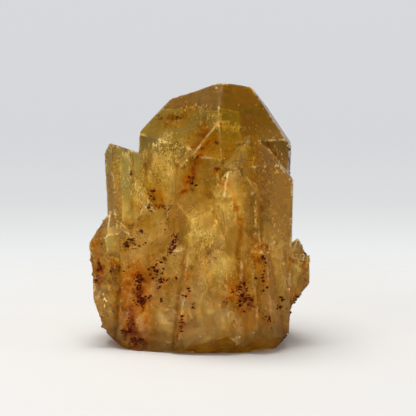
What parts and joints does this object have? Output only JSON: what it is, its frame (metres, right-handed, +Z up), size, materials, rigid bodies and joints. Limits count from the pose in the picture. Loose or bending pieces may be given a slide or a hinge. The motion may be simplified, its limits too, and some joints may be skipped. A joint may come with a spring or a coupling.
{
  "type": "citrine cluster",
  "caption": "Clear amber quartz cluster: pointed six-sided crystals grown together from one broken root, cut flat underneath so that it stands upright.",
  "frame": {"origin": "middle of the cluster's bounding box, on the flat base it stands on", "axes": "+Z up along the tallest crystal, -Y towards the front, +X to the right seen from the front"},
  "size_m": [0.0618, 0.045, 0.0722],
  "materials": {
    "citrine": "clear amber quartz with glossy growth faces, cloudy and iron-stained towards a frosted base"
  },
  "bodies": {
    "root": {"citrine_cluster": "citrine"}
  },
  "joints": []
}
